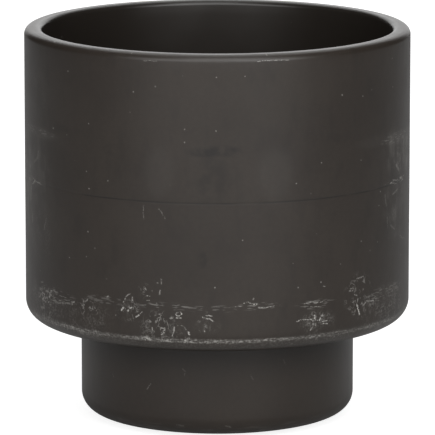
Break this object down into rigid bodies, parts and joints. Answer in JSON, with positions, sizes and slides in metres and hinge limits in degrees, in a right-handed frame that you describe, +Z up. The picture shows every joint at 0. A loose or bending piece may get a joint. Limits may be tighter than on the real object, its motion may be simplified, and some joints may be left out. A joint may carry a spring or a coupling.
{
  "type": "candle jar",
  "caption": "Empty ceramic candle jar: a wide straight cup with a thick rounded rim, bonded onto a narrower hollow foot with rubber pads.",
  "frame": {"origin": "on the jar's axis, in the plane that its pads stand on", "axes": "+Z up along the jar's axis, out of its mouth; the jar is round, so X and Y are free"},
  "size_m": [0.1, 0.1, 0.1021],
  "materials": {
    "cup_ceramic": "matt charcoal, lightly scuffed",
    "foot_ceramic": "matt charcoal, clean",
    "pad_rubber": "matt"
  },
  "bodies": {
    "root": {"cup": "cup_ceramic", "foot": "foot_ceramic", "foot_pad_1": "pad_rubber", "foot_pad_2": "pad_rubber", "foot_pad_3": "pad_rubber", "foot_pad_4": "pad_rubber"}
  },
  "joints": []
}
